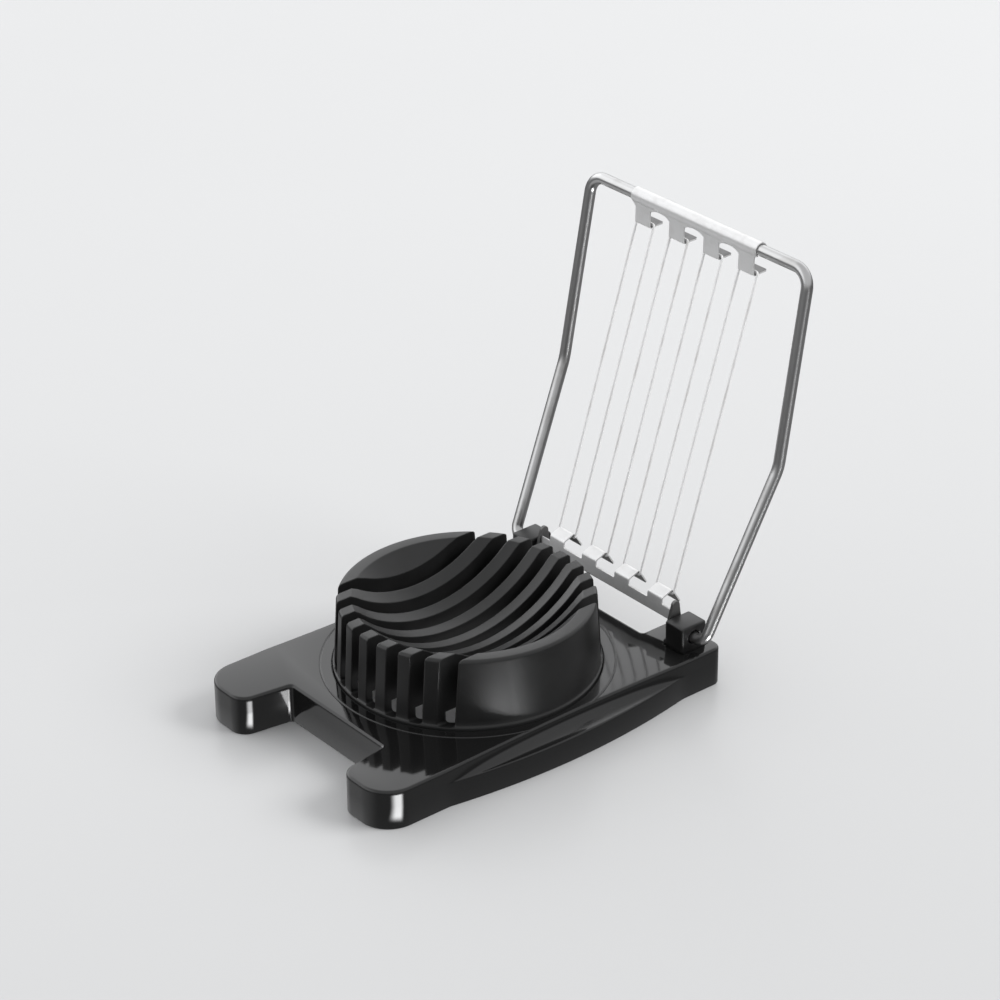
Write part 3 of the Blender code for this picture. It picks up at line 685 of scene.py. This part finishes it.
# %% [markdown]
# ## The hinge blocks
# Each block is a small upright box with softened edges, bored through for the frame's wire.
# The bore has a shallow countersink on both faces, and a peg below the block sits in the base.

# %% Two hinge blocks
FRAME_WIRE = 1.45 * MM
BORE = FRAME_WIRE + 0.15 * MM


def rod_x(name, radius, low, high, y, z, steps=48, end_radius=None):
    """A round bar along X, or a cone where the far end has its own radius."""
    bm = bmesh.new()
    bmesh.ops.create_cone(bm, cap_ends=True, segments=steps, radius1=radius,
                          radius2=radius if end_radius is None else end_radius,
                          depth=high - low)
    bmesh.ops.rotate(bm, matrix=Matrix.Rotation(math.pi / 2, 3, "Y"), verts=bm.verts)
    bmesh.ops.translate(bm, vec=((low + high) / 2, y, z), verts=bm.verts)
    return from_bmesh(name, bm)


axis_y = hinge_y - dish_y
for side, name in ((-1, "left"), (1, "right")):
    low_x, high_x = sorted((side * BLOCK_X[0], side * BLOCK_X[1]))
    block = box(f"hinge_block_{name}_finished", (low_x, BLOCK_Y[0], SOCKET_FLOOR + GAP),
                (high_x, BLOCK_Y[1], BLOCK_TOP))
    rounding = block.modifiers.new("rounding", "BEVEL")
    rounding.width = 0.55 * MM
    rounding.segments = 4
    rounding.limit_method = "ANGLE"
    settled(block)
    middle = ((low_x + high_x) / 2, sum(BLOCK_Y) / 2)
    peg_foot = SOCKET_FLOOR + GAP - 1.8 * MM
    boolean(block, "UNION", [disc("peg", PEG, peg_foot, SOCKET_FLOOR + 2 * GAP, middle, 48)])
    sink = 0.35 * MM
    boolean(block, "DIFFERENCE", [
        rod_x("bore", BORE, low_x - MM, high_x + MM, axis_y, hinge_z),
        rod_x("sink_near", BORE + 2 * sink, low_x - sink, low_x + sink, axis_y, hinge_z,
              end_radius=BORE),
        rod_x("sink_far", BORE, high_x - sink, high_x + sink, axis_y, hinge_z,
              end_radius=BORE + 2 * sink)])
    smooth(block)
    put(block, satin_black, "base", f"hinge_block_{name}", slot="matt_black_plastic")

# %% [markdown]
# ## The frame and its thin wires
# The frame is one length of steel wire, bent six times. A tree that sweeps a circle along a
# path suits it, and the same tree stores the two attributes that the wire's finish follows.
# The thin wires are four closed loops: one rounded rectangle, repeated at twice the slots'
# pitch, so that every one of the eight runs falls into the middle of a slot.

# %% A tree that sweeps wire along a path


def swept(tree, path, radius, sides, closed=False):
    """Add nodes that sweep a circle along a curve, with its lengths stored."""
    along = tree.add("GeometryNodeSplineParameter", out=1)
    marked = tree.add("GeometryNodeStoreNamedAttribute", {"data_type": "FLOAT"},
                      {"Geometry": path, "Name": "along", "Value": along})
    ring = tree.add("GeometryNodeCurvePrimitiveCircle", {"mode": "RADIUS"},
                    {"Resolution": sides, "Radius": radius})
    share = tree.add("GeometryNodeSplineParameter", out=0)
    ring = tree.add("GeometryNodeStoreNamedAttribute", {"data_type": "FLOAT"},
                    {"Geometry": ring, "Name": "around", "Value": share})
    return tree.add("GeometryNodeCurveToMesh", None,
                    {"Curve": marked, "Profile Curve": ring, "Fill Caps": not closed})


CROSSBAR_BACK = 28.1 * MM
ARM_END_X, ARM_X, KINK_X, TOP_X = 23.3 * MM, 35.5 * MM, 39.0 * MM, 38.3 * MM
KINK_BACK, KINK_UP = 19.5 * MM, 42.3 * MM
HINGE_BEND, KINK_BEND, CORNER_BEND = 3.0 * MM, 14.0 * MM, 4.5 * MM

frame_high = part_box("frame_wire")[1]
CROSSBAR = Vector((axis_y + CROSSBAR_BACK, frame_high.z - FRAME_WIRE))
arm = [(ARM_END_X, axis_y, hinge_z),
       (ARM_X, axis_y, hinge_z),
       (KINK_X, axis_y + KINK_BACK, hinge_z + KINK_UP),
       (TOP_X, CROSSBAR.x, CROSSBAR.y)]
bends = [0, HINGE_BEND, KINK_BEND, CORNER_BEND]
centre_line = rounded(arm + [(-x, y, z) for x, y, z in arm[::-1]], bends + bends[::-1], 14)
wire_path = bmesh.new()
path_verts = [wire_path.verts.new(p) for p in centre_line]
for pair in zip(path_verts, path_verts[1:]):
    wire_path.edges.new(pair)
frame_wire = from_bmesh("frame_wire_finished", wire_path)

bender = Grower("bent_wire", takes_mesh=True)
bend_radius = bender.size("Wire Radius", FRAME_WIRE)
bend_sides = bender.size("Sides", 28, "NodeSocketInt")
bend_path = bender.add("GeometryNodeMeshToCurve", None, {"Mesh": bender.entry.outputs[0]})
bender.finish(swept(bender, bend_path, bend_radius, bend_sides), drawn_steel)
bender.grow(frame_wire)
smooth(frame_wire, 50.0)
put(frame_wire, drawn_steel, "frame", "frame_wire", slot="satin_steel_wire")

# %% [markdown]
# A cutting wire has to be taut, so each loop runs straight from the lower comb to the upper one
# and turns tightly round its tab at both ends. One rectangle with filleted corners is drawn in
# the plane of the wires and repeated, which keeps all eight runs parallel.

# %% Four loops of thin wire
THIN_WIRE = 0.3 * MM
LOOPS = 4
LOW_TURN_BACK, LOW_TURN_UP = 2.7 * MM, 6.3 * MM
TOP_TURN_AHEAD, TOP_TURN_DOWN = 0.2 * MM, 6.0 * MM
LOOP_TURN = 0.55 * MM
LOW_END = Vector((axis_y + LOW_TURN_BACK, hinge_z + LOW_TURN_UP))
TOP_END = CROSSBAR - Vector((TOP_TURN_AHEAD, TOP_TURN_DOWN))
wire_up = (TOP_END - LOW_END).normalized()
wire_back = Vector((wire_up.y, -wire_up.x))

stringer = Grower("strung_loops")
loop_wide = stringer.size("Loop Width", PITCH)
loop_long = stringer.size("Loop Length", (TOP_END - LOW_END).length)
loop_count = stringer.size("Loops", LOOPS, "NodeSocketInt")
loop_radius = stringer.size("Wire Radius", THIN_WIRE)
loop_turn = stringer.size("Turn Radius", LOOP_TURN)
rectangle = stringer.add("GeometryNodeCurvePrimitiveQuadrilateral", {"mode": "RECTANGLE"},
                         {"Width": loop_wide, "Height": loop_long})
turned = stringer.add("GeometryNodeFilletCurve", {"mode": "POLY"},
                      {"Curve": rectangle, "Count": 6, "Radius": loop_turn})
loop_wire = swept(stringer, turned, loop_radius, 12, closed=True)
pitch_twice = stringer.add("ShaderNodeMath", {"operation": "MULTIPLY"}, {0: loop_wide, 1: 2.0})
loop_step = stringer.add("ShaderNodeCombineXYZ", None, {"X": pitch_twice})
loop_line = stringer.add("GeometryNodeMeshLine", {"mode": "OFFSET"},
                         {"Count": loop_count, "Offset": loop_step})
strings = stringer.add("GeometryNodeInstanceOnPoints", None,
                       {"Points": loop_line, "Instance": loop_wire})
stringer.finish(strings, fine_steel)
thin_wires = stringer.grow(blank("cutting_wires"))
middle = (LOW_END + TOP_END) / 2
upright = Matrix(((1, 0, 0), (0, wire_up.x, wire_back.x), (0, wire_up.y, wire_back.y))).to_4x4()
thin_wires.data.transform(Matrix.Translation((-(LOOPS - 1) * PITCH, middle.x, middle.y)) @ upright)
smooth(thin_wires, 50.0)
put(thin_wires, fine_steel, "frame", *[f"cutting_wire_{i + 1}" for i in range(LOOPS)],
    slot="fine_steel_wire")

# %% [markdown]
# ## The combs
# Both combs are pressed from sheet a little over a third of a millimetre thick. A maker cuts
# the flat shape first, tabs and all, and then bends it, and so does the helper below: a flat
# outline is sliced at the bend lines, wrapped along a side view of the comb, and thickened into
# sheet. The gaps between the tabs keep their round roots that way, however the sheet is bent.

# %% Bend a flat outline along a side view
SHEET = 0.36 * MM


def line_length(line):
    return sum((b - a).length for a, b in zip(line, line[1:]))


def bent_sheet(name, outline, line):
    """Sheet metal from a flat outline (x, distance along the line) and a (y, z) line."""
    lengths = [0.0]
    for a, b in zip(line, line[1:]):
        lengths.append(lengths[-1] + (b - a).length)
    bm = bmesh.new()
    bm.faces.new([bm.verts.new((x, s, 0.0)) for x, s in outline])
    for s in lengths[1:-1]:
        bmesh.ops.bisect_plane(bm, geom=bm.verts[:] + bm.edges[:] + bm.faces[:],
                               plane_co=(0, s, 0), plane_no=(0, 1, 0), dist=1e-7)
    for vert in bm.verts:
        s = min(max(vert.co.y, 0.0), lengths[-1])
        k = max(i for i in range(len(lengths) - 1) if lengths[i] <= s + 1e-9)
        t = (s - lengths[k]) / (lengths[k + 1] - lengths[k])
        place = line[k].lerp(line[k + 1], t)
        vert.co = (vert.co.x, place.x, place.y)
    obj = from_bmesh(name, bm)
    wall = obj.modifiers.new("wall", "SOLIDIFY")
    wall.thickness = SHEET
    wall.offset = 0.0
    wall.use_even_offset = True
    return settled(obj)


def mark_painted_shade(obj, line, inside, painted_dark_beyond=1.0):
    """Store on each face whether it is inside the bends or on a lug, both of which get painted
    shade.
    """
    marks = obj.data.attributes.new("inner", "FLOAT", "FACE")
    for face in obj.data.polygons:
        place = Vector(face.center[1:])
        best, side = 1.0, 0.0
        for a, b in zip(line, line[1:]):
            run = b - a
            t = min(max((place - a).dot(run) / run.length_squared, 0.0), 1.0)
            away = place - a - run * t
            if away.length < best:
                best, side = away.length, (run.x * away.y - run.y * away.x) / run.length
        # Bend insides and lug faces get the mark that paints them dark, as painted shade.
        inner = side * inside > 0.3 * SHEET and best < SHEET
        marks.data[face.index].value = 0.85 if inner or abs(face.center.x) > painted_dark_beyond else 0.0


TAB_CLEARANCE = 0.15 * MM
TAB = PITCH / 2 - THIN_WIRE - TAB_CLEARANCE
loop_middles = [(i - (LOOPS - 1) / 2) * 2 * PITCH for i in range(LOOPS)]
print("tabs at", [round(x / MM, 2) for x in loop_middles], "half width", round(TAB / MM, 2))

# %% [markdown]
# The upper comb is rolled round the crossbar like a cuff, comes down in front of the wires'
# turns and ends in four tabs that point back through the loops. Its side view is an arc and two
# bends. The gaps between its tabs have half-round roots, so its flat outline draws them.

# %% The upper comb
WRAP_CLEARANCE = 0.1 * MM
WRAP_FROM, WRAP_TO = -35.0, 222.0
WRAP_STEPS = 32
UPPER_RISE = 20.0
UPPER_FLANGE = 4.6
KNEE = 0.35 * MM
UPPER_HALF = 22.0 * MM
CORNER = 0.4 * MM
SEAT = THIN_WIRE + GAP / 2 + SHEET / 2
wrap = FRAME_WIRE + WRAP_CLEARANCE + SHEET / 2
upper_bend = TOP_END - wire_back * SEAT * 1.2 - wire_up * SEAT * 1.6
flange_rise = math.radians(UPPER_RISE)
upper_flange = wire_back * math.cos(flange_rise) + wire_up * math.sin(flange_rise)
upper_line = arc(CROSSBAR, wrap, WRAP_FROM, WRAP_TO, WRAP_STEPS)
knee = upper_line[-1] + (upper_line[-1] - upper_line[-2]).normalized() * KNEE
upper_tip = upper_bend + upper_flange * UPPER_FLANGE * MM
upper_line += rounded([upper_line[-1], knee, upper_bend, upper_tip],
                      [0, 0.5 * MM, 0.45 * MM, 0], 6)[1:]
upper_length = line_length(upper_line)
root_line = line_length(upper_line[:WRAP_STEPS + 1]) + KNEE
outline = [(-UPPER_HALF, 0.0), (UPPER_HALF, 0.0), (UPPER_HALF, root_line)]
for x in loop_middles[::-1]:
    edge = x + TAB
    outline += [(edge + 0.5 * MM, root_line)] if x == loop_middles[-1] else []
    outline += [(edge, root_line + 0.7 * MM), (edge, upper_length - CORNER),
                (edge - CORNER, upper_length), (x - TAB + CORNER, upper_length),
                (x - TAB, upper_length - CORNER), (x - TAB, root_line + 1.1 * MM)]
    if x != loop_middles[0]:
        gap_left = x - 2 * PITCH + TAB
        gap_right = x - TAB
        gap_middle = (gap_left + gap_right) / 2
        half = (gap_right - gap_left) / 2
        for p in arc((0.0, 0.0), 1.0, 20.0, 160.0, 9):
            outline.append((gap_middle + half * p.x, root_line + 1.5 * MM - p.y * 1.3 * MM))
outline += [(-UPPER_HALF, root_line)]
upper = bent_sheet("upper_comb_finished", outline, upper_line)
# Painted shade inside the bends of the upper comb.
mark_painted_shade(upper, upper_line, 1.0)
smooth(upper, 40.0)
put(upper, bright_sheet, "frame", "upper_comb", slot="bright_sheet_steel")

# %% [markdown]
# The lower comb stands on two lugs that turn on the frame's wire. From the front it is a strip
# with a small lip below and four arched tabs above, each of which goes over the turn of one
# loop and slopes down behind it. The lugs are added as separate plates with an eye.

# %% The lower comb
LIP = Vector((1.5, -1.3))
TAB_TOP = Vector((3.3, 1.2))
STRIP_LEAN, STRIP_HEIGHT, STRIP_SHARE = 0.2, 4.4, 0.62
LOWER_SLOPE = 58.0
LOWER_FLANGE = 5.2
LUG_THICK = 0.8 * MM
LUG_EYE = 2.3 * MM
LUG_HEIGHT = 6.7 * MM
LUG_TOP_ROUND = 1.1 * MM
LUG_TOP_BACK = 0.4 * MM
LUG_OUT = BLOCK_X[0] - 0.7 * MM
LOWER_HALF = LUG_OUT - LUG_THICK / 2
crest = LOW_END + Vector((0.2 * SEAT, 1.5 * SEAT))
front_top = crest - TAB_TOP * MM
front_low = front_top - Vector((STRIP_LEAN, STRIP_HEIGHT)) * MM
slope = math.radians(LOWER_SLOPE)
lower_tip = crest + Vector((math.cos(slope), -math.sin(slope))) * LOWER_FLANGE * MM
lower_line = rounded([front_low + LIP * MM, front_low, front_top, crest, lower_tip],
                     [0, 0.5 * MM, 0.8 * MM, 0.9 * MM, 0], 6)
lower_length = line_length(lower_line)
strip_root = LIP.length * MM + STRIP_HEIGHT * MM * STRIP_SHARE
outline = [(-LOWER_HALF, 0.0), (LOWER_HALF, 0.0), (LOWER_HALF, strip_root)]
for x in loop_middles[::-1]:
    outline += [(x + TAB + 0.3 * MM, strip_root), (x + TAB, strip_root + 0.3 * MM),
                (x + TAB, lower_length - 0.5 * MM), (x + TAB - 0.5 * MM, lower_length),
                (x - TAB + 0.5 * MM, lower_length), (x - TAB, lower_length - 0.5 * MM),
                (x - TAB, strip_root + 0.3 * MM), (x - TAB - 0.3 * MM, strip_root)]
outline += [(-LOWER_HALF, strip_root)]
lower = bent_sheet("lower_comb_finished", outline, lower_line)

# %% The lower comb's lugs
lug_top = hinge_z + LUG_HEIGHT
lug_side = arc((axis_y, hinge_z), LUG_EYE, -190.0, 10.0, 24)
lug_side += arc((axis_y + LUG_TOP_BACK, lug_top - LUG_TOP_ROUND), LUG_TOP_ROUND, 0.0, 180.0, 10)
lugs, eyes = [], []
for side in (-1, 1):
    near, far = sorted((side * LUG_OUT, side * (LUG_OUT - LUG_THICK)))
    lug = bmesh.new()
    face = lug.faces.new([lug.verts.new((near, p.x, p.y)) for p in lug_side])
    grown = bmesh.ops.extrude_face_region(lug, geom=[face])["geom"]
    moved = [g for g in grown if isinstance(g, bmesh.types.BMVert)]
    bmesh.ops.translate(lug, vec=(far - near, 0, 0), verts=moved)
    lugs.append(from_bmesh("lug", lug))
    eyes.append(rod_x("eye", BORE, near - MM, far + MM, axis_y, hinge_z))
boolean(lower, "UNION", lugs)
boolean(lower, "DIFFERENCE", eyes)
# Painted shade inside the bends; the lugs are painted dark as a painted dark reflection.
mark_painted_shade(lower, lower_line, -1.0, LUG_OUT - LUG_THICK - 0.01 * MM)
smooth(lower, 40.0)
put(lower, bright_sheet, "frame", "lower_comb", slot="bright_sheet_steel")

# %% [markdown]
# ## Floor, light and camera
# A plain pale table runs out past the view, and one large soft lamp stands far off to the
# right, so that the table is lit evenly; the table's colour is also painted darker towards the
# front right, as painted shade. Glossy black plastic and round wire show nothing but
# their surroundings, so the surroundings are what has to be right: a bright wall behind the
# slicer for the deck to mirror, an even ceiling, and a dim room below, which the polished
# walls and the undersides of the wires see instead of the table. A bright soft pane low in the
# room, with a faint one above it, gives the polished feet and the dish's wall their highlights.

# %% The table
floor_mesh = bmesh.new()
bmesh.ops.create_grid(floor_mesh, x_segments=1, y_segments=1, size=4.0)
floor = from_bmesh("floor", floor_mesh)
if floor.data.polygons[0].normal.z < 0:
    floor.data.flip_normals()
table = Finish("pale_table", {"Specular IOR Level": 0.25})
# Painted shade: the table's tone gets darker towards the front right, standing in for the light's
# falloff.
FADE_ALONG, FADE_FROM, FADE_TO = (-0.95, 0.31, 0.0), -0.45, 0.30
NEAR_TONE, FAR_TONE = grey(0.435, -0.004), grey(0.520, -0.004)
table_place = table.place.node("ShaderNodeVectorMath", {"operation": "DOT_PRODUCT"},
                               {0: table.place, 1: FADE_ALONG}, out=1)
table_painted_falloff = table_place.between(FADE_FROM, FADE_TO) * 0.9 + table.noise(3.0, detail=2.0) * 0.1
table_tone = table.colours(table_painted_falloff, NEAR_TONE, FAR_TONE)
table_gloss = 0.26 + table.noise(14.0) * 0.06
floor.data.materials.append(table.use(Base_Color=table_tone, Roughness=table_gloss))
floor.visible_glossy = False
print("table ready")

# %% [markdown]
# A studio could be built from white cards, but they would have to be kept out of every view.
# Here the world shader plays the cards: its brightness depends only on the direction looked in.
# Each card is a product of soft steps, for its height and for its bearing.

# %% The room around it
BACK_WALL, FRONT_LEFT = (-0.774, 0.633, 0.0), (-0.774, -0.633, 0.0)
WINDOW, ACROSS_WINDOW = (0.998, -0.061, 0.0), (0.061, 0.998, 0.0)
BELOW, HORIZON, CEILING = 0.27, 0.13, 0.80
BACK_LIGHT, FRONT_SKY, FRONT_FLOOR, WINDOW_LOW, WINDOW_HIGH = 0.85, 0.85, 0.30, 17.0, 0.5
LOW_PANE, HIGH_PANE = (-0.80, -0.70, -0.55, -0.49), (-0.48, -0.42, -0.12, 0.0)
WINDOW_SIDES = (-0.44, -0.12, 0.04, 0.24)

world = bpy.data.worlds.new("room")
world.use_nodes = True
room = Signal(world.node_tree)
look = room.node("ShaderNodeTexCoord", out=0)
split = look.node("ShaderNodeSeparateXYZ", None, {"Vector": look})
height = Signal(world.node_tree, split.socket.node.outputs["Z"])


def toward(direction):
    """How far a look goes towards a level direction, from -1 to 1."""
    return look.node("ShaderNodeVectorMath", {"operation": "DOT_PRODUCT"},
                     {0: look, 1: direction}, out=1)


def band(signal, edges):
    """1 inside a band and 0 outside it, with a soft step at each side."""
    return signal.between(*edges[:2]) * (1.0 - signal.between(*edges[2:]))


above = height.between(0.0, 0.20)
under = 1.0 - height.between(-0.42, -0.22)
behind = toward(BACK_WALL).between(0.15, 0.85)
front_left = toward(FRONT_LEFT).between(0.3, 0.8)
window = toward(WINDOW).between(0.2, 0.5) * band(toward(ACROSS_WINDOW), WINDOW_SIDES)
low_pane = band(height, LOW_PANE)
high_pane = band(height, HIGH_PANE)
strength = (HORIZON + under * (BELOW - HORIZON) + above * (CEILING - HORIZON)
            + above * behind * (1.0 - height.between(0.62, 0.9)) * BACK_LIGHT
            + above * front_left * FRONT_SKY + under * front_left * FRONT_FLOOR
            + window * low_pane * WINDOW_LOW + window * high_pane * WINDOW_HIGH)
sky = world.node_tree.nodes["Background"]
sky.inputs["Color"].default_value = (0.985, 0.99, 1.0, 1.0)
world.node_tree.links.new(strength.socket, sky.inputs["Strength"])
bpy.context.scene.world = world
bpy.context.scene.view_settings.view_transform = "Standard"
print("room ready")

# %% The lamp
AIM = Vector((0.0, dish_y, 15.0 * MM))


def softbox(name, azimuth, height, distance, wide, tall, power):
    """A rectangular lamp that looks at the dish from an azimuth counted from +X."""
    lamp = bpy.data.lights.new(name, "AREA")
    lamp.shape = "RECTANGLE"
    lamp.size, lamp.size_y = wide, tall
    lamp.energy = power
    made = bpy.data.objects.new(name, lamp)
    bpy.context.scene.collection.objects.link(made)
    turn, lift = math.radians(azimuth), math.radians(height)
    toward_lamp = Vector((math.cos(turn) * math.cos(lift), math.sin(turn) * math.cos(lift),
                          math.sin(lift)))
    made.location = AIM + toward_lamp * distance
    made.rotation_euler = (-toward_lamp).to_track_quat("-Z", "Y").to_euler()
    made.visible_camera = False
    made.visible_glossy = False
    return made


key = softbox("key_softbox", azimuth=46.0, height=35.0, distance=4.0, wide=2.2, tall=2.0,
              power=135.0)
print("lamp:", key.name)

# %% [markdown]
# The camera looks down at the slicer from its front right corner, with a long lens that keeps
# its edges nearly parallel. Its bearing, height and small roll are written as angles, and its
# place as a distance from the dish with a small shift, because those are easy to adjust.

# %% Camera
DISTANCE, ASIDE, RAISED = 807.0, 8.12, 33.8
AZIMUTH, ELEVATION, ROLL = math.radians(50.714), math.radians(28.465), math.radians(-0.557)
toward_camera = Vector((math.sin(AZIMUTH) * math.cos(ELEVATION),
                        -math.cos(AZIMUTH) * math.cos(ELEVATION), math.sin(ELEVATION)))
right = Vector((math.cos(AZIMUTH), math.sin(AZIMUTH), 0.0))
up = toward_camera.cross(right)
lens = bpy.data.cameras.new("camera")
lens.sensor_width = 36.0
lens.lens = 121.06
lens.clip_start, lens.clip_end = 0.01, 50.0
camera = bpy.data.objects.new("camera", lens)
bpy.context.scene.collection.objects.link(camera)
rolled_right = right * math.cos(ROLL) + up * math.sin(ROLL)
rolled_up = up * math.cos(ROLL) - right * math.sin(ROLL)
eye = AIM + toward_camera * DISTANCE * MM + right * ASIDE * MM + up * RAISED * MM
turn = Matrix((rolled_right, rolled_up, toward_camera)).transposed()
camera.matrix_world = Matrix.Translation(eye) @ turn.to_4x4()
bpy.context.scene.camera = camera
print("camera at", [round(v, 4) for v in eye])
